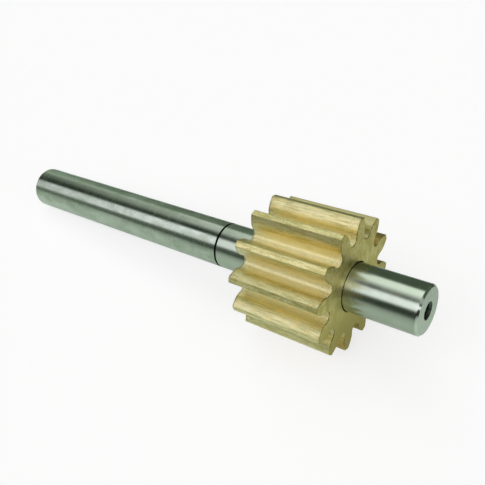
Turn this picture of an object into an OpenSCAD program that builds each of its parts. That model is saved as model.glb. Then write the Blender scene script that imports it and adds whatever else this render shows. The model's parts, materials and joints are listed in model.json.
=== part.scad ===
// Drive shaft with a keyed spur gear, as used in a rotary gear pump.
// The shaft axis is X and the origin is the centre of the gear's front face.
// +X points out of the short front journal, and the long drive end runs to -X.

/* [Shaft] */
// Diameter of both journals and of the drive end
shaft_d = 25; // [22:0.5:30]
// Overall length of the shaft
shaft_len = 272; // [220:1:340]
// Front journal, from the gear's front face to the shaft's front end
front_len = 37; // [28:1:60]
// Ground rear journal, from the gear's rear face to the ring groove
rear_len = 26.5; // [15:0.5:60]
// Chamfer on the front end of the shaft
front_chamfer = 1; // [0.5:0.25:2]
// Chamfer on the drive end, which leads a coupling on
drive_chamfer = 2; // [0.5:0.25:3]
// How far the gear seat stands above the journals, per side
seat_step = 0.25; // [0.25:0.25:1]
// How far inside the gear's faces the gear seat ends
seat_inset = 1; // [0.5:0.25:2]
// Depth of the grinding relief beside the gear seat, per side
relief_depth = 0.2; // [0.1:0.05:0.4]

/* [Retaining ring groove] */
// Width of the groove
groove_w = 1.2; // [0.8:0.1:2]
// Depth of the groove, per side
groove_depth = 0.6; // [0.3:0.1:1]

/* [Gear] */
// Number of teeth, low enough that the cutter undercuts them
teeth = 12; // [11:1:14]
// Module: pitch diameter divided by the number of teeth
gear_module = 5; // [4.5:0.25:6]
// Pressure angle in degrees
pressure_angle = 20; // [18:0.5:21]
// Width of the gear along the shaft
gear_w = 50; // [40:1:80]
// Chamfer on both ends of the gear's bore
bore_chamfer = 0.25; // [0.25:0.25:1]

/* [Key] */
// Width of the parallel key
key_w = 8; // [6:1:8]
// Height of the key
key_h = 7; // [6:1:7]
// Length of the key, over its round ends
key_len = 40; // [24:1:40]
// Depth of the key seat below the gear seat
key_seat_depth = 4; // [3:0.5:4]
// Gap between the top of the key and the gear
key_top_gap = 0.3; // [0.1:0.1:0.5]

/* [Holes in the shaft ends] */
// Tapping diameter of the threaded hole in the front end
tap_d = 6.8; // [5:0.1:8.5]
// Diameter of the countersink at the mouth of the threaded hole
tap_mouth_d = 9.2; // [9:0.1:11]
// Depth of the threaded hole, without its drill point
tap_depth = 22; // [15:1:26]
// Pilot diameter of the lathe centre in the drive end
centre_d = 2.5; // [1.6:0.1:4]
// Mouth diameter of the lathe centre in the drive end
centre_mouth_d = 5.3; // [4.2:0.1:8]
// Depth of the lathe centre's pilot, past its cone
centre_depth = 3; // [2:0.5:5]

/* [Hidden] */

round_fn = 120;
point_angle = 118;
centre_angle = 60;
through = 1;

// Shaft stations along X, and radii
shaft_r = shaft_d / 2;
seat_r = shaft_r + seat_step;
relief_r = shaft_r - relief_depth;
seat_lead = seat_step + relief_depth;
front_x = front_len;
rear_x = front_len - shaft_len;
gear_rear_x = -gear_w;
seat_rear_x = gear_rear_x + seat_inset;
groove_x = gear_rear_x - rear_len;

// The key lies under a tooth, on the far lower side of the shaft
half_tooth = 180 / teeth;
key_turn = 3 * half_tooth;
key_base = seat_r - key_seat_depth;
keyway_top = key_base + key_h + key_top_gap;
key_mid_x = -gear_w / 2;

// Gear circles, and the cutter rack with its rounded tip
pitch_r = gear_module * teeth / 2;
base_r = pitch_r * cos(pressure_angle);
tip_r = pitch_r + gear_module;
root_depth = 1.25 * gear_module;
root_r = pitch_r - root_depth;
cutter_tip_r = 0.38 * gear_module;
cutter_mid_depth = root_depth - cutter_tip_r;
cutter_mid_side = PI * gear_module / 4 - root_depth * tan(pressure_angle)
    - cutter_tip_r * (1 - sin(pressure_angle)) / cos(pressure_angle);
flank_overrun = 0.5;
flank_steps = 10;
fillet_steps = 12;
halvings = 30;

// Involute function of an angle in degrees, given back in degrees
function involute(angle) = tan(angle) * 180 / PI - angle;

// Half the angle of a tooth space at radius r, on its involute flanks
function space_half_angle(r) =
    half_tooth / 2 - involute(pressure_angle) + involute(acos(base_r / r));

// Cutter travel along its pitch line when the gear has turned by turn degrees
function travel(turn) = cutter_mid_side + pitch_r * turn * PI / 180;

// How far the cut point lies from the pitch point, over how far the tip centre does
function reach(turn) = 1 + cutter_tip_r / norm([travel(turn), cutter_mid_depth]);

// Point that the cutter's rounded tip leaves in the root, as [radius, angle from space's middle]
function root_point(turn) =
    let (side = travel(turn) * reach(turn), up = pitch_r - cutter_mid_depth * reach(turn))
    [norm([side, up]), atan2(side, up) - turn];

// True while the root curve still lies outside the involute, so it has cut the flank away
function undercuts(turn) =
    let (p = root_point(turn))
    p[0] <= base_r || p[1] > space_half_angle(p[0]);

// Turn at which the root curve meets the involute flank, found by halving
function meeting_turn(low, high, n) =
    n == 0 ? low
    : let (mid = (low + high) / 2)
      undercuts(mid) ? meeting_turn(mid, high, n - 1) : meeting_turn(low, mid, n - 1);

first_turn = -cutter_mid_side / pitch_r * 180 / PI;
last_turn = meeting_turn(half_tooth / 2, 3 * half_tooth, halvings);
flank_start_r = root_point(last_turn)[0];
outer_r = tip_r + flank_overrun;

// One side of a tooth space, from its root to just outside the tip circle
space_side = concat(
    [for (i = [0 : fillet_steps]) root_point(first_turn + (last_turn - first_turn) * i / fillet_steps)],
    [for (i = [1 : flank_steps])
        let (r = flank_start_r + (outer_r - flank_start_r) * i / flank_steps)
        [r, space_half_angle(r)]]
);

function at_polar(r, angle) = [r * cos(angle), r * sin(angle)];

function space_outline(mid) = [
    for (i = [len(space_side) - 1 : -1 : 0]) at_polar(space_side[i][0], mid - space_side[i][1]),
    for (i = [0 : len(space_side) - 1]) at_polar(space_side[i][0], mid + space_side[i][1])
];

gear_outline = [for (k = [0 : teeth - 1]) each space_outline(k * 2 * half_tooth)];

// Turns something drawn along Z so that it lies along X
module along_x(from_x) {
    translate([from_x, 0, 0]) rotate([0, 90, 0]) children();
}

// Slot or key shape with round ends, lying on Z = 0 and centred along X
module round_end_bar(length, width, height) {
    end_mid = (length - width) / 2;
    translate([-end_mid, -width / 2, 0]) cube([2 * end_mid, width, height]);
    for (side = [-1, 1])
        translate([side * end_mid, 0, 0]) cylinder(d = width, h = height, $fn = round_fn);
}

// Puts something drawn with its top along +Z at the key's place
module at_key() {
    translate([key_mid_x, 0, 0]) rotate([180 + key_turn, 0, 0]) children();
}

// Half section of the shaft: radius, then station along the axis
module shaft_section() {
    polygon([
        [0, rear_x],
        [shaft_r - drive_chamfer, rear_x],
        [shaft_r, rear_x + drive_chamfer],
        [shaft_r, groove_x - groove_w],
        [shaft_r - groove_depth, groove_x - groove_w],
        [shaft_r - groove_depth, groove_x],
        [shaft_r, groove_x],
        [shaft_r, gear_rear_x],
        [relief_r, gear_rear_x],
        [relief_r, seat_rear_x],
        [seat_r, seat_rear_x + seat_lead],
        [seat_r, -seat_inset - seat_lead],
        [relief_r, -seat_inset],
        [relief_r, 0],
        [shaft_r, 0],
        [shaft_r, front_x - front_chamfer],
        [shaft_r - front_chamfer, front_x],
        [0, front_x]
    ]);
}

// Threaded hole's tapping drill and countersink, with the mouth at Z = 0 and the hole below it
module tap_hole() {
    mouth_depth = (tap_mouth_d - tap_d) / 2;
    point_len = tap_d / 2 / tan(point_angle / 2);
    translate([0, 0, -tap_depth]) cylinder(d = tap_d, h = tap_depth + through, $fn = round_fn);
    translate([0, 0, -mouth_depth])
        cylinder(d1 = tap_d, d2 = tap_mouth_d, h = mouth_depth, $fn = round_fn);
    translate([0, 0, -tap_depth - point_len])
        cylinder(d1 = 0, d2 = tap_d, h = point_len, $fn = round_fn);
}

// Lathe centre: a 60 degree cone and its pilot, with the mouth at Z = 0 and the hole above it
module lathe_centre() {
    cone_len = (centre_mouth_d - centre_d) / 2 / tan(centre_angle / 2);
    point_len = centre_d / 2 / tan(point_angle / 2);
    pilot_end = cone_len + centre_depth;
    translate([0, 0, -through]) cylinder(d = centre_d, h = pilot_end + through, $fn = round_fn);
    cylinder(d1 = centre_mouth_d, d2 = centre_d, h = cone_len, $fn = round_fn);
    translate([0, 0, pilot_end]) cylinder(d1 = centre_d, d2 = 0, h = point_len, $fn = round_fn);
}

module drive_shaft() {
    color("lightslategray")
    difference() {
        along_x(0) rotate_extrude($fn = round_fn) shaft_section();
        along_x(front_x) tap_hole();
        along_x(rear_x) lathe_centre();
        at_key() translate([0, 0, key_base]) round_end_bar(key_len, key_w, key_h);
    }
}

module spur_gear() {
    color("darkkhaki")
    difference() {
        along_x(gear_rear_x) linear_extrude(gear_w)
            intersection() {
                polygon(gear_outline);
                circle(r = tip_r, $fn = round_fn);
            }
        along_x(gear_rear_x - through) cylinder(r = seat_r, h = gear_w + 2 * through, $fn = round_fn);
        along_x(gear_rear_x)
            cylinder(r1 = seat_r + bore_chamfer, r2 = seat_r, h = bore_chamfer, $fn = round_fn);
        along_x(-bore_chamfer)
            cylinder(r1 = seat_r, r2 = seat_r + bore_chamfer, h = bore_chamfer, $fn = round_fn);
        at_key() translate([-gear_w / 2 - through, -key_w / 2, 0])
            cube([gear_w + 2 * through, key_w, keyway_top]);
    }
}

module gear_key() {
    color("dimgray") at_key() translate([0, 0, key_base]) round_end_bar(key_len, key_w, key_h);
}

drive_shaft();
spur_gear();
gear_key();
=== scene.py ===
"""Looks of a pump drive shaft and its keyed bronze spur gear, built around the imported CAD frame.

Lengths are in metres in the row frame: the shaft axis is X, and the gear's front face is at X = 0.
"""

import json
import math

import bmesh
import bpy
from mathutils import Matrix, Quaternion, Vector


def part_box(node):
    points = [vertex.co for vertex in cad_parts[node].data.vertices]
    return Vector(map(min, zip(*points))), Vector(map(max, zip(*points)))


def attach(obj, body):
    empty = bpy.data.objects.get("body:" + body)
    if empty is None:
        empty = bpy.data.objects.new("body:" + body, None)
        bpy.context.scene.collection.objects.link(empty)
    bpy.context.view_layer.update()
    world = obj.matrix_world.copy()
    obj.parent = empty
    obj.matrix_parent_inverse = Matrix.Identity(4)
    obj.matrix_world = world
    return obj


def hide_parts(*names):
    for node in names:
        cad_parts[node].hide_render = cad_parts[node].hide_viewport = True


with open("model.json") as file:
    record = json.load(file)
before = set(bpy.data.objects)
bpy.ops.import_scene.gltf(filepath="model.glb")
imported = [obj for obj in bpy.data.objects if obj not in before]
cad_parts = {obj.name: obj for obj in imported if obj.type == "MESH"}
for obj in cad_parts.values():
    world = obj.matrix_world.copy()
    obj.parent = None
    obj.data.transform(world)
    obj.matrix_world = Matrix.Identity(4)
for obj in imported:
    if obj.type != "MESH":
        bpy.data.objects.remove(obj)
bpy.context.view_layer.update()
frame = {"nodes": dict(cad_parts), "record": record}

MM = 0.001
MICRON = 1e-6

# ---------------------------------------------------------------- sizes read from the CAD frame

MOUNTS = {mount["name"]: mount for mount in frame["record"]["mounts"]}


def node_radii(node):
    """Distance from the shaft axis of each vertex of a CAD node."""
    vertices = frame["nodes"][node].data.vertices
    return [math.hypot(v.co.y, v.co.z) for v in vertices]


def groove_edges():
    """Rear and front station of the ring groove, and the radius of its floor."""
    past_lathe_centre = SHAFT_REAR_X + 20 * MM
    floor = []
    for v in frame["nodes"]["drive_shaft"].data.vertices:
        radius = math.hypot(v.co.y, v.co.z)
        if past_lathe_centre < v.co.x < GEAR_REAR_X and radius < RELIEF_R:
            floor.append((v.co.x, radius))
    stations = [x for x, radius in floor]
    return min(stations), max(stations), floor[0][1]


JOURNAL_R = MOUNTS["drive_end"]["dims"]["r_mm"] * MM
TAP_R = MOUNTS["end_thread"]["dims"]["r_mm"] * MM
SHAFT_REAR_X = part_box("drive_shaft")[0].x
SHAFT_FRONT_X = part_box("drive_shaft")[1].x
GEAR_REAR_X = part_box("spur_gear")[0].x
GEAR_FRONT_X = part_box("spur_gear")[1].x
SEAT_R = min(node_radii("spur_gear"))
TIP_R = max(node_radii("spur_gear"))
SEAT_INSET = 1 * MM
RELIEF_R = JOURNAL_R - 0.2 * MM
GROOVE_REAR_X, GROOVE_FRONT_X, GROOVE_R = groove_edges()

# ---------------------------------------------------------------- gear data, as in the CAD

TEETH = 12
HALF_TOOTH = math.pi / TEETH
PRESSURE_ANGLE = math.radians(20)
GEAR_MODULE = TIP_R / (TEETH / 2 + 1)
PITCH_R = GEAR_MODULE * TEETH / 2
BASE_R = PITCH_R * math.cos(PRESSURE_ANGLE)
CUTTER_TIP_R = 0.38 * GEAR_MODULE
ROOT_DEPTH = 1.25 * GEAR_MODULE
CUTTER_MID_DEPTH = ROOT_DEPTH - CUTTER_TIP_R
CUTTER_MID_SIDE = (
    math.pi * GEAR_MODULE / 4
    - ROOT_DEPTH * math.tan(PRESSURE_ANGLE)
    - CUTTER_TIP_R * (1 - math.sin(PRESSURE_ANGLE)) / math.cos(PRESSURE_ANGLE)
)
HALVINGS = 40
BORE_CHAMFER = 0.25 * MM
BORE_SEGMENTS = 120
TOOTH_EDGE_BREAK = 0.3 * MM
TIP_CORNER_R = 0.45 * MM
# The facets of a tooth tip lie no more than this inside the tip circle
LAND_FLATNESS = 0.12 * MM

# ---------------------------------------------------------------- shaft details

SHAFT_SEGMENTS = 192
FRONT_CHAMFER = 1 * MM
DRIVE_CHAMFER = 2 * MM
EDGE_R = 0.15 * MM
GROOVE_EDGE_R = 0.08 * MM
THREAD_MAJOR_R = 4 * MM
THREAD_PITCH = 1.25 * MM
THREAD_LENGTH = 20 * MM
THREAD_CREST_SHARE = 0.15
THREAD_FLANK_SHARE = 0.65
THREAD_STEPS_PER_TURN = 8
TAP_MOUTH_R = 4.6 * MM
TAP_DEPTH = 22 * MM
CENTRE_R = 1.25 * MM
CENTRE_MOUTH_R = 2.65 * MM
CENTRE_PILOT = 3 * MM
DRILL_POINT = math.radians(59)
CENTRE_CONE = math.radians(30)

# ---------------------------------------------------------------- key

KEY_WIDTH = 8 * MM
KEY_HEIGHT = 7 * MM
KEY_LENGTH = 40 * MM
KEY_SEAT_DEPTH = 4 * MM
KEY_TOP_GAP = 0.3 * MM
KEY_EDGE = 0.25 * MM
KEY_BASE_R = SEAT_R - KEY_SEAT_DEPTH
KEY_TURN = math.radians(180) + 3 * HALF_TOOTH
KEY_MID_X = (GEAR_REAR_X + GEAR_FRONT_X) / 2


# ================================================================ mesh helpers

SHARP_ANGLE = math.radians(32)


def new_object(name, bm, materials):
    """Makes a mesh object from bm, with soft shading that breaks at sharp edges."""
    bmesh.ops.recalc_face_normals(bm, faces=bm.faces)
    mesh = bpy.data.meshes.new(name)
    bm.to_mesh(mesh)
    bm.free()
    for material in materials:
        mesh.materials.append(material)
    mesh.shade_smooth()
    mesh.set_sharp_from_angle(angle=SHARP_ANGLE)
    piece = bpy.data.objects.new(name, mesh)
    bpy.context.scene.collection.objects.link(piece)
    weighted = piece.modifiers.new("even_shading", "WEIGHTED_NORMAL")
    weighted.keep_sharp = True
    return piece


def on_axis(x, radius, angle):
    """Point at a station and radius, at an angle from +Z towards -Y."""
    return Vector((x, -radius * math.sin(angle), radius * math.cos(angle)))


def bridge(bm, first, second, material):
    """Quads between two closed rings of as many vertices."""
    count = len(first)
    for i in range(count):
        j = (i + 1) % count
        face = bm.faces.new((first[i], first[j], second[j], second[i]))
        face.material_index = material


def fan(bm, ring, tip, material):
    """Triangles from a ring to one vertex."""
    count = len(ring)
    for i in range(count):
        face = bm.faces.new((ring[i], ring[(i + 1) % count], tip))
        face.material_index = material


def fill_between(bm, loops, normal, material):
    """Flat face with holes, filled between closed loops of vertices."""
    edges = []
    for loop in loops:
        for i, vertex in enumerate(loop):
            following = loop[(i + 1) % len(loop)]
            edge = bm.edges.get((vertex, following)) or bm.edges.new((vertex, following))
            edges.append(edge)
    made = bmesh.ops.triangle_fill(bm, edges=edges, use_beauty=True, normal=normal)
    for item in made["geom"]:
        if isinstance(item, bmesh.types.BMFace):
            item.material_index = material


# ================================================================ gear outline


def involute(angle):
    """Involute function of an angle."""
    return math.tan(angle) - angle


def space_half_angle(radius):
    """Half the angle of a tooth space at that radius, between the involute flanks."""
    return HALF_TOOTH / 2 - involute(PRESSURE_ANGLE) + involute(math.acos(BASE_R / radius))


def root_point(turn):
    """Point left in the root by the cutter's rounded tip: radius, angle from the space's middle."""
    travel = CUTTER_MID_SIDE + PITCH_R * turn
    reach = 1 + CUTTER_TIP_R / math.hypot(travel, CUTTER_MID_DEPTH)
    side = travel * reach
    up = PITCH_R - CUTTER_MID_DEPTH * reach
    return math.hypot(side, up), math.atan2(side, up) - turn


def undercuts(turn):
    """True while the root curve lies outside the involute, so that it has cut the flank away."""
    radius, angle = root_point(turn)
    return radius <= BASE_R or angle > space_half_angle(radius)


def meeting_turn():
    """Turn at which the root curve meets the involute flank, found by halving."""
    low = HALF_TOOTH / 2
    high = 3 * HALF_TOOTH
    for _ in range(HALVINGS):
        middle = (low + high) / 2
        if undercuts(middle):
            low = middle
        else:
            high = middle
    return low


def corner_arc(corner, before, after, radius, steps):
    """Arc that rounds the corner between two straight runs, as 2D points."""
    towards_before = (before - corner).normalized()
    towards_after = (after - corner).normalized()
    half = towards_before.angle(towards_after) / 2
    middle = (towards_before + towards_after).normalized()
    centre = corner + middle * (radius / math.sin(half))
    start = corner + towards_before * (radius / math.tan(half)) - centre
    turn = start.angle_signed(corner + towards_after * (radius / math.tan(half)) - centre)
    return [centre + Matrix.Rotation(-turn * i / steps, 2) @ start for i in range(steps + 1)]


def polar(radius, angle):
    """2D point at a radius and angle."""
    return Vector((radius * math.cos(angle), radius * math.sin(angle)))


def half_space(root_steps=14, flank_steps=9, corner_steps=4, land_steps=3):
    """One side of a tooth space as (radius, angle from its middle), from the root to mid tooth tip."""
    first = -CUTTER_MID_SIDE / PITCH_R
    last = meeting_turn()
    points = [root_point(first + (last - first) * i / root_steps) for i in range(root_steps + 1)]
    start_r = points[-1][0]
    end_r = TIP_R - 2 * TIP_CORNER_R
    for i in range(1, flank_steps + 1):
        radius = start_r + (end_r - start_r) * i / flank_steps
        points.append((radius, space_half_angle(radius)))
    corner = space_half_angle(TIP_R)
    on_land = corner + 0.3 * (HALF_TOOTH - corner)
    before, after = polar(*points[-1]), polar(TIP_R, on_land)
    for p in corner_arc(polar(TIP_R, corner), before, after, TIP_CORNER_R, corner_steps):
        points.append((p.length, math.atan2(p.y, p.x)))
    start = points[-1][1]
    for i in range(1, land_steps):
        points.append((TIP_R, start + (HALF_TOOTH - start) * i / land_steps))
    return points


def gear_outline():
    """The gear's outline as 2D points (Z, -Y), anticlockwise."""
    side = half_space()
    points = []
    for tooth in range(TEETH):
        middle = tooth * 2 * HALF_TOOTH
        points += [(r, middle - a) for r, a in reversed(side)]
        points += [(r, middle + a) for r, a in side[1:]]
        points.append((TIP_R, middle + HALF_TOOTH))
    return [polar(r, a) for r, a in points]


def inset(outline, distance):
    """The outline moved inwards along its own normals."""
    count = len(outline)
    moved = []
    for i, point in enumerate(outline):
        before = (point - outline[i - 1]).normalized()
        after = (outline[(i + 1) % count] - point).normalized()
        along = (before + after).normalized()
        moved.append(point + Vector((-along.y, along.x)) * distance)
    return moved


def bore_outline(radius):
    """The gear's bore with its keyway: an arc, and the slot's four corners, as 2D points (Z, -Y)."""
    half = KEY_WIDTH / 2
    top = KEY_BASE_R + KEY_HEIGHT + KEY_TOP_GAP
    gap = math.asin(half / radius)
    points = []
    for i in range(BORE_SEGMENTS + 1):
        points.append(polar(radius, gap + (2 * math.pi - 2 * gap) * i / BORE_SEGMENTS))
    points += [Vector((top, -half)), Vector((top, half))]
    turned = Matrix.Rotation(KEY_TURN, 2)
    return [turned @ p for p in points]


def section_ring(bm, outline, x):
    """Vertices of a 2D outline (Z, -Y) at station x."""
    return [bm.verts.new((x, -p.y, p.x)) for p in outline]


def edge_break_rows(face_x, inward, size, steps=3):
    """Stations and insets that round an edge of that size between a face and the side."""
    rows = []
    for i in range(steps + 1):
        angle = math.pi / 2 * i / steps
        rows.append((face_x + inward * size * (1 - math.cos(angle)), size * (1 - math.sin(angle))))
    return rows


# Order of the gear's materials
FLANK, LAND, FACE, BORE, EDGE = range(5)


def mark_lands(bm):
    """Gives the tooth tips their own material."""
    for face in bm.faces:
        centre = face.calc_center_median()
        if math.hypot(centre.y, centre.z) > TIP_R - LAND_FLATNESS and face.material_index == FLANK:
            face.material_index = LAND


def make_gear(*finishes):
    """The spur gear: rounded tooth edges, chamfered bore and keyway."""
    bm = bmesh.new()
    outline = gear_outline()
    rows = edge_break_rows(GEAR_FRONT_X, -1, TOOTH_EDGE_BREAK)
    along_teeth = len(rows) - 1
    rows += reversed(edge_break_rows(GEAR_REAR_X, 1, TOOTH_EDGE_BREAK))
    rings = [section_ring(bm, inset(outline, depth), x) for x, depth in rows]
    for i, (first, second) in enumerate(zip(rings, rings[1:])):
        bridge(bm, first, second, FLANK if i == along_teeth else EDGE)
    mark_lands(bm)
    stations = [
        (GEAR_FRONT_X, SEAT_R + BORE_CHAMFER),
        (GEAR_FRONT_X - BORE_CHAMFER, SEAT_R),
        (GEAR_REAR_X + BORE_CHAMFER, SEAT_R),
        (GEAR_REAR_X, SEAT_R + BORE_CHAMFER),
    ]
    bores = [section_ring(bm, bore_outline(radius), x) for x, radius in stations]
    for first, second in zip(bores, bores[1:]):
        bridge(bm, first, second, BORE)
    fill_between(bm, [rings[0], bores[0]], (1, 0, 0), FACE)
    fill_between(bm, [rings[-1], bores[-1]], (-1, 0, 0), FACE)
    return new_object("spur_gear_bronze", bm, finishes)


# ================================================================ shaft


def rounded_profile(points, steps=3):
    """Profile of (x, radius, edge radius, material) with each edge rounded by its own radius."""
    made = []
    for i, (x, radius, edge, material) in enumerate(points):
        corner = Vector((x, radius))
        if edge == 0:
            made.append((x, radius, material))
            continue
        before = Vector(points[i - 1][:2])
        after = Vector(points[i + 1][:2])
        for p in corner_arc(corner, before, after, edge, steps):
            made.append((p.x, p.y, material))
    return made


def lathe_ring(bm, x, radius):
    """Ring of vertices round the shaft at a station."""
    return [
        bm.verts.new(on_axis(x, radius, 2 * math.pi * i / SHAFT_SEGMENTS))
        for i in range(SHAFT_SEGMENTS)
    ]


# Order of the shaft's materials
GROUND, TURNED, FACED, BORED, GROOVED, BEVELLED = range(6)


def shaft_profile():
    """Outer profile from the lathe centre's point to the tapped hole's mouth.

    Each row is station, radius, edge radius and the material of the band that follows it.
    """
    cone = (CENTRE_MOUTH_R - CENTRE_R) / math.tan(CENTRE_CONE)
    pilot_x = SHAFT_REAR_X + cone + CENTRE_PILOT
    seat_rear = GEAR_REAR_X + SEAT_INSET
    seat_front = GEAR_FRONT_X - SEAT_INSET
    seat_lead = SEAT_R - RELIEF_R
    return [
        (pilot_x, CENTRE_R, 0, BORED),
        (SHAFT_REAR_X + cone, CENTRE_R, 0, BORED),
        (SHAFT_REAR_X, CENTRE_MOUTH_R, 0.05 * MM, FACED),
        (SHAFT_REAR_X, JOURNAL_R - DRIVE_CHAMFER, EDGE_R, BEVELLED),
        (SHAFT_REAR_X + DRIVE_CHAMFER, JOURNAL_R, EDGE_R, TURNED),
        (GROOVE_REAR_X, JOURNAL_R, GROOVE_EDGE_R, GROOVED),
        (GROOVE_REAR_X, GROOVE_R, 0, GROOVED),
        (GROOVE_FRONT_X, GROOVE_R, 0, GROOVED),
        (GROOVE_FRONT_X, JOURNAL_R, GROOVE_EDGE_R, GROUND),
        (GEAR_REAR_X, JOURNAL_R, 0, GROOVED),
        (GEAR_REAR_X, RELIEF_R, 0, GROOVED),
        (seat_rear, RELIEF_R, 0, GROOVED),
        (seat_rear + seat_lead, SEAT_R, 0, GROUND),
        (seat_front - seat_lead, SEAT_R, 0, GROOVED),
        (seat_front, RELIEF_R, 0, GROOVED),
        (GEAR_FRONT_X, RELIEF_R, 0, GROOVED),
        (GEAR_FRONT_X, JOURNAL_R, 0, GROUND),
        (SHAFT_FRONT_X - FRONT_CHAMFER, JOURNAL_R, EDGE_R, BEVELLED),
        (SHAFT_FRONT_X, JOURNAL_R - FRONT_CHAMFER, EDGE_R, FACED),
        (SHAFT_FRONT_X, TAP_MOUTH_R, 0, BORED),
    ]


def thread_radius(depth, angle):
    """Radius of the tapped hole at a depth below its mouth, at an angle round it."""
    runout = min(1, max(0, (THREAD_LENGTH - depth) / THREAD_PITCH))
    phase = (depth / THREAD_PITCH + angle / (2 * math.pi)) % 1
    wave = 2 * abs(phase - 0.5)
    cut = min(1, max(0, (wave - THREAD_CREST_SHARE) / THREAD_FLANK_SHARE))
    return TAP_R + (THREAD_MAJOR_R - TAP_R) * cut * runout


def tapped_ring(bm, depth):
    """One ring of the tapped hole: the thread, opened out by the countersink near the mouth."""
    ring = []
    for i in range(SHAFT_SEGMENTS):
        angle = 2 * math.pi * i / SHAFT_SEGMENTS
        radius = max(thread_radius(depth, angle), TAP_MOUTH_R - depth)
        ring.append(bm.verts.new(on_axis(SHAFT_FRONT_X - depth, radius, angle)))
    return ring


def tapped_hole(bm, mouth):
    """Threaded hole below a ring of vertices at its mouth, closed by the drill's point."""
    step = THREAD_PITCH / THREAD_STEPS_PER_TURN
    last = mouth
    for i in range(1, math.ceil(THREAD_LENGTH / step) + 1):
        ring = tapped_ring(bm, i * step)
        bridge(bm, last, ring, BORED)
        last = ring
    bottom = lathe_ring(bm, SHAFT_FRONT_X - TAP_DEPTH, TAP_R)
    bridge(bm, last, bottom, BORED)
    point_x = SHAFT_FRONT_X - TAP_DEPTH - TAP_R / math.tan(DRILL_POINT)
    fan(bm, bottom, bm.verts.new((point_x, 0, 0)), BORED)


def round_end_outline(length, width, steps=17):
    """Outline of a slot or key with round ends, centred on the origin."""
    middle = (length - width) / 2
    points = []
    for end in (1, -1):
        for i in range(steps + 1):
            angle = -end * math.pi / 2 + math.pi * i / steps
            points.append(Vector((end * middle, 0)) + polar(1, angle) * width / 2)
    return points


def at_key(bm):
    """Moves something drawn with its top along +Z to the key's place."""
    turned = Matrix.Rotation(KEY_TURN, 4, "X")
    bmesh.ops.transform(bm, matrix=Matrix.Translation((KEY_MID_X, 0, 0)) @ turned, verts=bm.verts)


def key_seat_cutter():
    """Solid that cuts the key's seat."""
    bm = bmesh.new()
    outline = round_end_outline(KEY_LENGTH, KEY_WIDTH)
    low = [bm.verts.new((p.x, p.y, KEY_BASE_R)) for p in outline]
    high = [bm.verts.new((p.x, p.y, KEY_BASE_R + KEY_HEIGHT)) for p in outline]
    bm.faces.new(low)
    bm.faces.new(high)
    bridge(bm, low, high, 0)
    at_key(bm)
    bmesh.ops.recalc_face_normals(bm, faces=bm.faces)
    mesh = bpy.data.meshes.new("key_seat_cutter")
    bm.to_mesh(mesh)
    bm.free()
    cutter = bpy.data.objects.new("key_seat_cutter", mesh)
    bpy.context.scene.collection.objects.link(cutter)
    return cutter


def cut_away(piece, cutter):
    """Cuts the cutter out of the piece for good, and removes the cutter."""
    cut = piece.modifiers.new("cut", "BOOLEAN")
    cut.operation = "DIFFERENCE"
    cut.solver = "EXACT"
    cut.object = cutter
    with bpy.context.temp_override(object=piece, active_object=piece):
        bpy.ops.object.modifier_move_to_index(modifier="cut", index=0)
        bpy.ops.object.modifier_apply(modifier="cut")
    piece.data.set_sharp_from_angle(angle=SHARP_ANGLE)
    bpy.data.objects.remove(cutter)


def make_shaft(*finishes):
    """The drive shaft: rounded chamfers, ring groove, gear seat, tapped hole and lathe centre."""
    bm = bmesh.new()
    rows = rounded_profile(shaft_profile())
    rings = [lathe_ring(bm, x, radius) for x, radius, _ in rows]
    for row, first, second in zip(rows, rings, rings[1:]):
        bridge(bm, first, second, row[2])
    centre_tip = rows[0][0] + CENTRE_R / math.tan(DRILL_POINT)
    fan(bm, rings[0], bm.verts.new((centre_tip, 0, 0)), BORED)
    tapped_hole(bm, rings[-1])
    shaft = new_object("drive_shaft_steel", bm, finishes)
    cut_away(shaft, key_seat_cutter())
    return shaft


# ================================================================ key


def make_key(steel):
    """The parallel key: round ends and a small chamfer round its top and bottom."""
    bm = bmesh.new()
    outline = round_end_outline(KEY_LENGTH, KEY_WIDTH)
    rows = [
        (KEY_BASE_R, KEY_EDGE),
        (KEY_BASE_R + KEY_EDGE, 0),
        (KEY_BASE_R + KEY_HEIGHT - KEY_EDGE, 0),
        (KEY_BASE_R + KEY_HEIGHT, KEY_EDGE),
    ]
    rings = []
    for height, depth in rows:
        shape = inset(outline, depth) if depth else outline
        rings.append([bm.verts.new((p.x, p.y, height)) for p in shape])
    for first, second in zip(rings, rings[1:]):
        bridge(bm, first, second, 0)
    bm.faces.new(rings[0])
    bm.faces.new(rings[-1])
    at_key(bm)
    return new_object("gear_key_steel", bm, [steel])


# ================================================================ node trees


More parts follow.
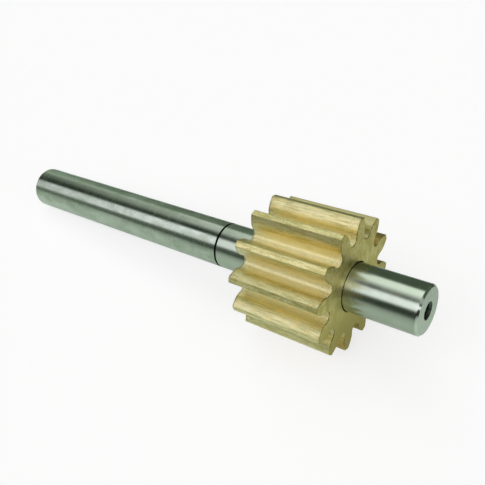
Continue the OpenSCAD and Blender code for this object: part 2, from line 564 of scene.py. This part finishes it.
class Nodes:
    """A material's or the world's node tree, with short calls for the nodes that they share."""

    def __init__(self, owner):
        owner.use_nodes = True
        self.tree = owner.node_tree
        self.tree.nodes.clear()

    def add(self, kind):
        return self.tree.nodes.new(kind)

    def link(self, source, target):
        self.tree.links.new(source, target)

    def feed(self, socket, value):
        """Gives a socket a node's output or a plain value."""
        if isinstance(value, bpy.types.NodeSocket):
            self.link(value, socket)
        elif socket.type == "RGBA":
            socket.default_value = (*value, 1)
        else:
            socket.default_value = value

    def maths(self, operation, *values):
        """A Math node on values."""
        node = self.add("ShaderNodeMath")
        node.operation = operation
        for socket, value in zip(node.inputs, values):
            self.feed(socket, value)
        return node.outputs["Value"]

    def stretch(self, value, low, high, to_low=0, to_high=1):
        """Maps value from one range to another, smoothly and held at both ends."""
        node = self.add("ShaderNodeMapRange")
        node.interpolation_type = "SMOOTHSTEP"
        node.inputs["From Min"].default_value = low
        node.inputs["From Max"].default_value = high
        node.inputs["To Min"].default_value = to_low
        node.inputs["To Max"].default_value = to_high
        self.link(value, node.inputs["Value"])
        return node.outputs["Result"]

    def blend(self, factor, first, second):
        """Colour between two colours."""
        mix = self.add("ShaderNodeMix")
        mix.data_type = "RGBA"
        self.link(factor, mix.inputs["Factor"])
        for name, value in (("A", first), ("B", second)):
            self.feed([s for s in mix.inputs if s.name == name and s.type == "RGBA"][0], value)
        return [s for s in mix.outputs if s.type == "RGBA"][0]


# ================================================================ materials


class Finish(Nodes):
    """A metal, textured by its place on the object."""

    def __init__(self, name, anisotropic=0.0):
        self.material = bpy.data.materials.new(name)
        super().__init__(self.material)
        output = self.add("ShaderNodeOutputMaterial")
        self.metal = self.add("ShaderNodeBsdfPrincipled")
        self.metal.inputs["Metallic"].default_value = 1
        self.link(self.metal.outputs["BSDF"], output.inputs["Surface"])
        self.place = self.add("ShaderNodeTexCoord").outputs["Object"]
        if anisotropic:
            self.metal.inputs["Anisotropic"].default_value = anisotropic
            self.metal.inputs["Anisotropic Rotation"].default_value = 0.25
            tangent = self.add("ShaderNodeTangent")
            tangent.direction_type = "RADIAL"
            tangent.axis = "X"
            self.link(tangent.outputs["Tangent"], self.metal.inputs["Tangent"])

    def set_colour(self, value):
        self.feed(self.metal.inputs["Base Color"], value)

    def set_metallic(self, value):
        self.feed(self.metal.inputs["Metallic"], value)

    def set_roughness(self, value):
        self.feed(self.metal.inputs["Roughness"], value)

    def set_oil(self, weight, roughness, ior):
        """Thin oil film, which makes the highlights paler than the metal."""
        self.feed(self.metal.inputs["Coat Weight"], weight)
        self.metal.inputs["Coat Roughness"].default_value = roughness
        self.metal.inputs["Coat IOR"].default_value = ior

    def set_bumps(self, *heights):
        """Bumps, each a (height output, depth in metres)."""
        last = None
        for height, depth in heights:
            bump = self.add("ShaderNodeBump")
            bump.inputs["Distance"].default_value = depth
            self.link(height, bump.inputs["Height"])
            if last:
                self.link(last.outputs["Normal"], bump.inputs["Normal"])
            last = bump
        self.link(last.outputs["Normal"], self.metal.inputs["Normal"])

    def noise(self, scale, detail, roughness):
        """Noise between 0 and 1. Scale is features per metre along X, Y and Z."""
        mapping = self.add("ShaderNodeMapping")
        mapping.inputs["Scale"].default_value = scale
        self.link(self.place, mapping.inputs["Vector"])
        noise = self.add("ShaderNodeTexNoise")
        noise.inputs["Scale"].default_value = 1
        noise.inputs["Detail"].default_value = detail
        noise.inputs["Roughness"].default_value = roughness
        self.link(mapping.outputs["Vector"], noise.inputs["Vector"])
        return noise.outputs["Fac"]

    def rings(self, spacing):
        """Fine tool marks at steps of radius, as facing leaves them, between 0 and 1."""
        noise = self.add("ShaderNodeTexNoise")
        noise.noise_dimensions = "1D"
        noise.inputs["Scale"].default_value = 1
        self.link(self.maths("MULTIPLY", self.radius(), 1 / spacing), noise.inputs["W"])
        return noise.outputs["Fac"]

    def radius(self):
        """Distance from the shaft axis, in metres."""
        flat = self.add("ShaderNodeVectorMath")
        flat.operation = "MULTIPLY"
        flat.inputs[1].default_value = (0, 1, 1)
        self.link(self.place, flat.inputs[0])
        length = self.add("ShaderNodeVectorMath")
        length.operation = "LENGTH"
        self.link(flat.outputs["Vector"], length.inputs[0])
        return length.outputs["Value"]

    def coordinate(self, axis):
        """X, Y or Z in the row frame, in metres."""
        split = self.add("ShaderNodeSeparateXYZ")
        self.link(self.place, split.inputs[0])
        return split.outputs[axis]

    def distance_from(self, station):
        """Distance along the shaft from a station, in metres."""
        return self.maths("ABSOLUTE", self.maths("SUBTRACT", self.coordinate("X"), station))


def ground_steel():
    """Ground journals: bright, with faint patches, and a little duller beside the gear's front."""
    finish = Finish("ground_steel", anisotropic=0.6)
    dark, pale = (0.45, 0.505, 0.435), (0.51, 0.56, 0.49)
    lines = finish.noise((3500, 25, 25), 3, 0.6)
    patches = finish.noise((90, 90, 90), 3, 0.6)
    finish.set_colour(finish.blend(finish.stretch(patches, 0.3, 0.7), dark, pale))
    base = finish.stretch(patches, 0.3, 0.75, 0.18, 0.24)
    base = finish.maths("ADD", base, finish.stretch(lines, 0.35, 0.75, 0, 0.02))
    beside_gear = finish.stretch(finish.distance_from(GEAR_FRONT_X), 4 * MM, 15 * MM, 0.05, 0)
    finish.set_roughness(finish.maths("ADD", base, beside_gear))
    finish.set_bumps((lines, 0.1 * MICRON))
    return finish.material


def turned_steel():
    """Drive end: duller, with coarser turned lines, handling marks and a grey bloom."""
    finish = Finish("turned_steel", anisotropic=0.7)
    bright, dull = (0.56, 0.61, 0.55), (0.41, 0.47, 0.395)
    band, stain, bloom = (0.57, 0.62, 0.56), (0.38, 0.43, 0.32), (0.60, 0.61, 0.56)
    lines = finish.noise((1400, 18, 18), 4, 0.65)
    bands = finish.noise((160, 4, 4), 3, 0.6)
    patches = finish.noise((45, 110, 110), 5, 0.7)
    stains = finish.noise((90, 260, 260), 5, 0.75)
    colour = finish.blend(finish.stretch(patches, 0.38, 0.62), bright, dull)
    colour = finish.blend(finish.stretch(bands, 0.45, 0.75, 0, 0.5), colour, band)
    colour = finish.blend(finish.stretch(stains, 0.53, 0.70, 0, 0.7), colour, stain)
    finish.set_colour(finish.blend(finish.stretch(stains, 0.47, 0.32, 0, 0.5), colour, bloom))
    base = finish.stretch(patches, 0.36, 0.64, 0.13, 0.23)
    base = finish.maths("ADD", base, finish.stretch(stains, 0.5, 0.7, 0, 0.07))
    finish.set_roughness(finish.maths("ADD", base, finish.stretch(lines, 0.35, 0.75, 0, 0.06)))
    finish.set_bumps((lines, 0.6 * MICRON), (bands, 1.5 * MICRON), (stains, 6 * MICRON))
    return finish.material


def faced_steel():
    """Faced shaft ends: turning rings from the centre outwards."""
    finish = Finish("faced_steel", anisotropic=0.3)
    dark, pale = (0.49, 0.54, 0.475), (0.55, 0.60, 0.54)
    patches = finish.noise((300, 300, 300), 3, 0.6)
    finish.set_colour(finish.blend(finish.stretch(patches, 0.3, 0.7), dark, pale))
    finish.set_roughness(finish.stretch(patches, 0.3, 0.75, 0.22, 0.31))
    finish.set_bumps((finish.rings(0.22 * MM), 1.2 * MICRON))
    return finish.material


def bevelled_steel():
    """Chamfers: each a single bright cut of the lathe tool."""
    finish = Finish("bevelled_steel")
    dark, pale = (0.58, 0.63, 0.57), (0.68, 0.73, 0.67)
    patches = finish.noise((400, 400, 400), 3, 0.6)
    finish.set_colour(finish.blend(finish.stretch(patches, 0.3, 0.7), dark, pale))
    finish.set_roughness(finish.stretch(patches, 0.3, 0.75, 0.10, 0.17))
    finish.set_bumps((finish.rings(0.12 * MM), 0.4 * MICRON))
    return finish.material


def bore_steel_painted_shade():
    """Inside the holes: cut steel coloured near-black as painted shade, for the shade deep in the holes."""
    finish = Finish("bore_steel_painted_shade")
    grain = finish.noise((900, 900, 900), 3, 0.6)
    # Painted shade: near-black walls for the shade inside the holes
    finish.set_colour(finish.blend(grain, (0.02, 0.028, 0.02), (0.13, 0.155, 0.13)))
    finish.set_roughness(finish.stretch(grain, 0.3, 0.7, 0.25, 0.4))
    finish.set_bumps((grain, 4 * MICRON))
    return finish.material


def groove_steel_painted_shade():
    """The ring groove, and the relief on both sides of the seat: coloured near-black as painted shade, for
    the shade in these narrow recesses and in the gap beside the gear.
    """
    finish = Finish("groove_steel_painted_shade")
    grain = finish.noise((1500, 300, 300), 3, 0.6)
    # Painted shade: near-black for the shade in the groove and in the gap beside the gear
    finish.set_colour(finish.blend(grain, (0.004, 0.006, 0.004), (0.02, 0.025, 0.02)))
    finish.set_roughness(finish.stretch(grain, 0.3, 0.7, 0.45, 0.65))
    finish.set_bumps((grain, 4 * MICRON))
    return finish.material


def key_steel():
    """Bright drawn key stock: lengthwise drawing lines."""
    finish = Finish("key_steel")
    lines = finish.noise((30, 2500, 2500), 3, 0.6)
    finish.set_colour(finish.blend(lines, (0.38, 0.40, 0.39), (0.47, 0.49, 0.48)))
    finish.set_roughness(finish.stretch(lines, 0.3, 0.7, 0.28, 0.42))
    finish.set_bumps((lines, 2 * MICRON))
    return finish.material


# Bronze colours. The root highlight and the gold bounce are painted light; the low-side shade and the rim
# shade are painted shade, and olive is both a tone and the far side's painted shade
PALE_BRONZE = (0.85, 0.76, 0.40)
ROOT_HIGHLIGHT_BRONZE = (0.95, 0.86, 0.47)
GOLD_BOUNCE_BRONZE = (1.0, 0.76, 0.21)
AMBER_BRONZE = (0.90, 0.69, 0.21)
OLIVE_TONE_AND_SHADE_BRONZE = (0.54, 0.48, 0.15)
LOW_SIDE_SHADE_BRONZE = (0.56, 0.37, 0.10)
SPECK_BRONZE = (0.36, 0.29, 0.08)
RIM_SHADE_BRONZE = (0.16, 0.12, 0.04)


def flank_tone_and_painted_light(finish, streaks, mottle, root):
    """Colour of the flanks: streaked, gold below the pitch line as a painted reflection of light bounced
    between the teeth, and pale at the roots as a painted highlight.
    """
    patches = finish.noise((60, 160, 160), 3, 0.6)
    worn = finish.maths("MULTIPLY_ADD", patches, 0.3, finish.maths("MULTIPLY", streaks, 0.7))
    tone = finish.blend(finish.stretch(worn, 0.42, 0.58), PALE_BRONZE, OLIVE_TONE_AND_SHADE_BRONZE)
    tone = finish.blend(finish.stretch(mottle, 0.5, 0.66, 0, 0.6), tone, AMBER_BRONZE)
    # Painted reflection: gold below the pitch line stands in for light bounced between the teeth
    band = finish.stretch(finish.radius(), 28.5 * MM, 33 * MM, 1, 0)
    gold_bounce = finish.maths("MULTIPLY", band, finish.stretch(streaks, 0.38, 0.58, 1, 0.25))
    tone = finish.blend(gold_bounce, tone, GOLD_BOUNCE_BRONZE)
    # Painted highlight: pale cream roots
    pale = finish.maths("MULTIPLY", root, finish.stretch(mottle, 0.35, 0.65, 1, 0.55))
    return finish.blend(pale, tone, ROOT_HIGHLIGHT_BRONZE)


def flank_bronze():
    """Tooth flanks: cutter streaks along the teeth, specks near both ends, and painted shade on the far side
    and the lower far side.
    """
    finish = Finish("flank_bronze")
    streaks = finish.noise((90, 1100, 1100), 5, 0.8)
    mottle = finish.noise((260, 520, 520), 4, 0.75)
    grain = finish.noise((1300, 1300, 1300), 3, 0.7)
    # The roots: a painted highlight in colour, and rougher and less metallic
    root = finish.stretch(finish.radius(), 25.5 * MM, 30.3 * MM, 1, 0)
    # Painted shade: flanks on the far side (+Y) turn darker olive
    behind = finish.stretch(finish.coordinate("Y"), 7 * MM, 12 * MM, 0, 0.8)
    # Painted shade: the lower far side turns darker and browner; the same mask thins the oil coat and keeps
    # those roots more metallic
    low_behind = finish.maths("MULTIPLY_ADD", finish.coordinate("Z"), -0.7, finish.coordinate("Y"))
    low_side_shade = finish.stretch(low_behind, 3 * MM, 9 * MM)
    ends = finish.stretch(finish.distance_from(KEY_MID_X), 14 * MM, 26 * MM, 0.2, 1)
    specks = finish.maths("MULTIPLY", finish.stretch(grain, 0.54, 0.62, 0, 0.8), ends)
    # Painted shade: a dark, ragged band along the teeth's rear edges
    rear = finish.stretch(finish.distance_from(GEAR_REAR_X), 0.3 * MM, 1.4 * MM, 1, 0)
    rim_shade = finish.maths("MULTIPLY", rear, finish.stretch(mottle, 0.62, 0.42, 0.15, 0.85))

    tone = flank_tone_and_painted_light(finish, streaks, mottle, root)
    # Painted shade on the far side and the lower far side
    tone = finish.blend(behind, tone, OLIVE_TONE_AND_SHADE_BRONZE)
    tone = finish.blend(finish.maths("MULTIPLY", low_side_shade, 0.85), tone, LOW_SIDE_SHADE_BRONZE)
    tone = finish.blend(specks, tone, SPECK_BRONZE)
    finish.set_colour(finish.blend(rim_shade, tone, RIM_SHADE_BRONZE))
    root_off_low_side = finish.maths("MULTIPLY", root, finish.stretch(low_side_shade, 0, 1, 1, 0))
    finish.set_metallic(finish.stretch(root_off_low_side, 0, 1, 0.86, 0.5))
    finish.set_oil(finish.stretch(low_side_shade, 0, 1, 1, 0.1), 0.28, 1.9)
    base = finish.stretch(streaks, 0.3, 0.7, 0.40, 0.56)
    finish.set_roughness(finish.maths("MULTIPLY_ADD", root, 0.08, base))
    pits = finish.maths("MULTIPLY", grain, ends)
    finish.set_bumps((streaks, 45 * MICRON), (mottle, 16 * MICRON), (pits, 25 * MICRON))
    return finish.material


def land_bronze():
    """Tooth tips: turned with the blank, so their lines run round the gear, then worn along the teeth."""
    finish = Finish("land_bronze")
    pale, olive = (0.90, 0.79, 0.37), (0.53, 0.455, 0.11)
    lines = finish.noise((1800, 30, 30), 3, 0.6)
    wear = finish.noise((110, 900, 900), 5, 0.8)
    grain = finish.noise((1200, 1200, 1200), 3, 0.7)
    tone = finish.blend(finish.stretch(wear, 0.40, 0.60), pale, olive)
    finish.set_colour(finish.blend(finish.stretch(grain, 0.56, 0.66, 0, 0.7), tone, SPECK_BRONZE))
    finish.set_metallic(0.7)
    finish.set_oil(1, 0.25, 1.75)
    finish.set_roughness(finish.stretch(lines, 0.3, 0.7, 0.34, 0.46))
    finish.set_bumps((lines, 1.5 * MICRON), (wear, 25 * MICRON), (grain, 8 * MICRON))
    return finish.material


def faced_bronze():
    """End faces of the gear: dull facing rings with cloudy patches, and painted shade that darkens them
    towards the lower side.
    """
    finish = Finish("faced_bronze")
    dark, pale, low_side_shade = (0.68, 0.55, 0.175), (0.90, 0.765, 0.36), (0.52, 0.42, 0.13)
    patches = finish.noise((170, 170, 170), 5, 0.7)
    grain = finish.noise((1500, 1500, 1500), 2, 0.6)
    tone = finish.blend(finish.stretch(patches, 0.39, 0.61), dark, pale)
    # Painted shade: the faces darken towards the lower side
    low = finish.stretch(finish.coordinate("Z"), 12 * MM, -22 * MM)
    finish.set_colour(finish.blend(low, tone, low_side_shade))
    finish.set_roughness(finish.stretch(patches, 0.3, 0.7, 0.42, 0.52))
    finish.set_bumps((finish.rings(0.3 * MM), 2.5 * MICRON), (patches, 30 * MICRON), (grain, 1.5 * MICRON))
    return finish.material


def bore_bronze_painted_shade():
    """Bore, its chamfers and the keyway: coloured dark as painted shade, for the dark gap where the gear
    meets the shaft.
    """
    finish = Finish("bore_bronze_painted_shade")
    grain = finish.noise((300, 1500, 1500), 3, 0.6)
    # Painted shade: dark bore and chamfers for the shade in the gap between gear and shaft
    finish.set_colour(finish.blend(grain, (0.03, 0.028, 0.012), (0.12, 0.10, 0.035)))
    finish.set_roughness(finish.stretch(grain, 0.3, 0.7, 0.4, 0.6))
    finish.set_bumps((grain, 3 * MICRON))
    return finish.material


def edge_bronze_shade_and_wear():
    """Broken edges of the teeth: coloured dark as painted shade, to draw dark outlines along the teeth, but
    rubbed bright in places and at the tips.
    """
    finish = Finish("edge_bronze_shade_and_wear")
    rubbed = finish.noise((260, 260, 260), 4, 0.7)
    tips = finish.stretch(finish.radius(), 30 * MM, 33.5 * MM, 0, 0.75)
    bright = finish.maths("MAXIMUM", finish.stretch(rubbed, 0.42, 0.62), tips)
    # Painted shade: dark edges draw the teeth's dark outlines; the rubbed patches and the tips are lighter
    # wear
    finish.set_colour(finish.blend(bright, (0.18, 0.135, 0.04), (0.66, 0.55, 0.20)))
    finish.set_roughness(finish.stretch(rubbed, 0.3, 0.7, 0.6, 0.4))
    finish.set_bumps((rubbed, 10 * MICRON))
    return finish.material


# ================================================================ stage


# Long soft lights parallel to the shaft, which the steel reflects as bands. A light lies between two
# angles in degrees round the shaft, from the front horizon over the top and down behind, and its edges
# have a softness. A slope is the X component of a direction. From the first of two slopes to the
# second, towards -X, the light goes from its near level to its far one. Over TURN_SLOPES its edges turn
# by some degrees. Over FRONT_SLOPES, towards +X, its level drops to a share of itself.
SOFT_LIGHTS = (
    {
        "low": 25, "low_softness": 7, "low_turn": -4,
        "high": 56, "high_softness": 7, "high_turn": 7,
        "slopes": (-0.60, -0.88), "near": 1.22, "far": 0.54,
        "colour": (0.995, 1.0, 1.04), "front_share": 1.0,
    },
    {
        "low": 79, "low_softness": 14, "low_turn": 14,
        "high": 118, "high_softness": 8, "high_turn": 18,
        "slopes": (-0.2, -0.88), "near": 1.60, "far": 0.0,
        "colour": (0.95, 1.0, 0.93), "front_share": 0.3,
    },
)
TURN_SLOPES = (-0.25, -0.75)
FRONT_SLOPES = (-0.22, 0.1)
# A softer light abreast of the gear, between two angles and two pairs of slopes
FILL_ANGLES = (26, 80)
FILL_SOFTNESS = 8
FILL_REAR_SLOPES = (-0.26, -0.10)
FILL_FRONT_SLOPES = (0.30, 0.14)
FILL_COLOUR = (1.5, 1.485, 1.455)
# The sky between the lights, with haze near the horizon, most of it far towards -X
SKY = (0.025, 0.04, 0.022)
HAZE = (0.24, 0.30, 0.23)
HAZE_FRONT_ANGLES = (26, 6)
HAZE_REAR_ANGLES = (108, 136)
HAZE_SLOPES = (-0.38, -0.86)
HAZE_REAR_SHARE = 0.3
# What the camera sees behind the object
WHITE_LEVEL = 0.96


def add_light(world, total, level, colour):
    """Adds a light of some level and colour to the world's total."""
    scaled = world.add("ShaderNodeVectorMath")
    scaled.operation = "SCALE"
    scaled.inputs[0].default_value = colour
    world.link(level, scaled.inputs["Scale"])
    both = world.add("ShaderNodeVectorMath")
    world.link(scaled.outputs[0], both.inputs[0])
    world.feed(both.inputs[1], total)
    return both.outputs[0]


def add_soft_light(world, total, slope, angle, light):
    """Adds one of SOFT_LIGHTS to the world's total."""
    turn = world.stretch(slope, *TURN_SLOPES)
    low = world.maths("MULTIPLY_ADD", turn, -light["low_turn"], angle)
    low = world.stretch(low, light["low"] - light["low_softness"], light["low"] + light["low_softness"])
    high = world.maths("MULTIPLY_ADD", turn, -light["high_turn"], angle)
    high = world.stretch(high, light["high"] + light["high_softness"], light["high"] - light["high_softness"])
    level = world.stretch(slope, *light["slopes"])
    level = world.maths("MULTIPLY_ADD", level, light["far"] - light["near"], light["near"])
    front = world.stretch(slope, *FRONT_SLOPES)
    level = world.maths("MULTIPLY", level, world.maths("MULTIPLY_ADD", front, light["front_share"] - 1, 1))
    level = world.maths("MULTIPLY", level, world.maths("MULTIPLY", low, high))
    return add_light(world, total, level, light["colour"])


def add_fill(world, total, slope, angle):
    """Adds the fill light to the world's total."""
    low, high = FILL_ANGLES
    above = world.stretch(angle, low - FILL_SOFTNESS, low + FILL_SOFTNESS)
    below = world.stretch(angle, high + FILL_SOFTNESS, high - FILL_SOFTNESS)
    rear = world.stretch(slope, *FILL_REAR_SLOPES)
    front = world.stretch(slope, *FILL_FRONT_SLOPES)
    level = world.maths("MULTIPLY", above, below)
    level = world.maths("MULTIPLY", level, world.maths("MULTIPLY", rear, front))
    return add_light(world, total, level, FILL_COLOUR)


def add_haze(world, total, slope, angle):
    """Adds the haze near the horizon to the world's total."""
    front = world.stretch(angle, *HAZE_FRONT_ANGLES)
    rear = world.stretch(angle, *HAZE_REAR_ANGLES)
    haze = world.maths("MULTIPLY", world.maths("ADD", front, rear), world.stretch(slope, *HAZE_SLOPES))
    haze = world.maths("MULTIPLY_ADD", rear, HAZE_REAR_SHARE, haze)
    return add_light(world, total, haze, HAZE)


def studio_world():
    """Soft lights above the part, seen by the metal, and plain white seen by the camera."""
    bpy.context.scene.world = bpy.data.worlds.new("studio")
    world = Nodes(bpy.context.scene.world)
    direction = world.add("ShaderNodeSeparateXYZ")
    world.link(world.add("ShaderNodeTexCoord").outputs["Generated"], direction.inputs[0])
    slope, across, up = (direction.outputs[axis] for axis in "XYZ")
    angle = world.maths("DEGREES", world.maths("ARCTAN2", up, world.maths("MULTIPLY", across, -1)))

    total = add_haze(world, SKY, slope, angle)
    for light in SOFT_LIGHTS:
        total = add_soft_light(world, total, slope, angle, light)
    total = add_fill(world, total, slope, angle)

    lights = world.add("ShaderNodeBackground")
    world.link(total, lights.inputs["Color"])
    white = world.add("ShaderNodeBackground")
    white.inputs["Color"].default_value = (WHITE_LEVEL, WHITE_LEVEL, WHITE_LEVEL, 1)
    choose = world.add("ShaderNodeMixShader")
    world.link(world.add("ShaderNodeLightPath").outputs["Is Camera Ray"], choose.inputs["Fac"])
    world.link(lights.outputs[0], choose.inputs[1])
    world.link(white.outputs[0], choose.inputs[2])
    world.link(choose.outputs[0], world.add("ShaderNodeOutputWorld").inputs["Surface"])


# The floor as the camera sees it, and as the metal reflects it: near the shaft's line, and past a
# distance in front and behind
FLOOR_SIZE = 6.0
FLOOR_SEEN_ALBEDO = (0.35, 0.35, 0.35)
FLOOR_SEEN_GLOW = (0.745, 0.739, 0.745)
FLOOR_ALBEDO = (0.72, 0.8, 0.72)
FLOOR_GLOW = (0.153, 0.17, 0.153)
FLOOR_FAR_SHARE = 0.12
FLOOR_FADE_START = 40 * MM
FLOOR_FADE_END = 300 * MM


def floor_material():
    """Pale matt floor, dimmer far to the front and back in what the metal reflects.

    It can be seen from above only, so that it never hides the part from below.
    """
    material = bpy.data.materials.new("pale_floor")
    floor = Nodes(material)
    place = floor.add("ShaderNodeSeparateXYZ")
    floor.link(floor.add("ShaderNodeTexCoord").outputs["Object"], place.inputs[0])
    fade = floor.add("ShaderNodeMapRange")
    fade.inputs["From Min"].default_value = FLOOR_FADE_START
    fade.inputs["From Max"].default_value = FLOOR_FADE_END
    floor.link(floor.maths("ABSOLUTE", place.outputs["Y"]), fade.inputs["Value"])
    by_camera = floor.add("ShaderNodeLightPath").outputs["Is Camera Ray"]

    def shade(reflected, seen):
        """Colour seen by the camera, or else the reflected one, which fades with distance."""
        far = tuple(FLOOR_FAR_SHARE * c for c in reflected)
        return floor.blend(by_camera, floor.blend(fade.outputs["Result"], reflected, far), seen)

    matt = floor.add("ShaderNodeBsdfDiffuse")
    floor.link(shade(FLOOR_ALBEDO, FLOOR_SEEN_ALBEDO), matt.inputs["Color"])
    glow = floor.add("ShaderNodeEmission")
    floor.link(shade(FLOOR_GLOW, FLOOR_SEEN_GLOW), glow.inputs["Color"])
    both = floor.add("ShaderNodeAddShader")
    floor.link(matt.outputs[0], both.inputs[0])
    floor.link(glow.outputs[0], both.inputs[1])
    side = floor.add("ShaderNodeMixShader")
    floor.link(floor.add("ShaderNodeNewGeometry").outputs["Backfacing"], side.inputs["Fac"])
    floor.link(both.outputs[0], side.inputs[1])
    floor.link(floor.add("ShaderNodeBsdfTransparent").outputs[0], side.inputs[2])
    floor.link(side.outputs[0], floor.add("ShaderNodeOutputMaterial").inputs["Surface"])
    return material


def make_floor():
    """Large floor under the part, tilted as it lies: on two gear teeth and the shaft's far end."""
    gear_foot = Vector((GEAR_REAR_X, 0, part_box("spur_gear")[0].z))
    shaft_foot = Vector((SHAFT_REAR_X + DRIVE_CHAMFER, 0, -JOURNAL_R))
    along = (gear_foot - shaft_foot).normalized()
    across = Vector((0, 1, 0))
    bm = bmesh.new()
    corners = [
        gear_foot + along * FLOOR_SIZE * i + across * FLOOR_SIZE * j
        for i, j in ((-1, -1), (1, -1), (1, 1), (-1, 1))
    ]
    bm.faces.new([bm.verts.new(c) for c in corners])
    mesh = bpy.data.meshes.new("floor")
    bm.to_mesh(mesh)
    bm.free()
    mesh.materials.append(floor_material())
    floor = bpy.data.objects.new("floor", mesh)
    bpy.context.scene.collection.objects.link(floor)


# The photograph's camera, as fitted to the outlines in it
AZIMUTH = math.radians(41.68)
ELEVATION = math.radians(33.54)
ROLL = math.radians(-8.06)
CAMERA_DISTANCE = 342.14 * MM
CAMERA_TARGET = (-71.8 * MM, 0.5 * MM, 0.56 * MM)
LENS = 46.56
LENS_SHIFT = (0.0109, 0.0085)


def make_camera():
    """Camera at the photograph's viewing angle."""
    across = math.cos(ELEVATION)
    back = Vector((math.sin(AZIMUTH) * across, -math.cos(AZIMUTH) * across, math.sin(ELEVATION)))
    data = bpy.data.cameras.new("camera")
    data.lens = LENS
    data.shift_x, data.shift_y = LENS_SHIFT
    data.clip_start = 10 * MM
    camera = bpy.data.objects.new("camera", data)
    camera.location = Vector(CAMERA_TARGET) + back * CAMERA_DISTANCE
    camera.rotation_mode = "QUATERNION"
    level = (-back).to_track_quat("-Z", "Y")
    camera.rotation_quaternion = level @ Quaternion((0, 0, 1), ROLL)
    bpy.context.scene.collection.objects.link(camera)
    bpy.context.scene.camera = camera


# ================================================================ the scene

bpy.context.scene.view_settings.view_transform = "Standard"
make_camera()
studio_world()
make_floor()

# In the order of GROUND, TURNED, FACED, BORED, GROOVED and BEVELLED
shaft = make_shaft(
    ground_steel(), turned_steel(), faced_steel(), bore_steel_painted_shade(), groove_steel_painted_shade(), bevelled_steel()
)
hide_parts("drive_shaft")
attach(shaft, "root")

# In the order of FLANK, LAND, FACE, BORE and EDGE
gear = make_gear(flank_bronze(), land_bronze(), faced_bronze(), bore_bronze_painted_shade(), edge_bronze_shade_and_wear())
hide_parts("spur_gear")
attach(gear, "root")

key = make_key(key_steel())
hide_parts("gear_key")
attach(key, "root")
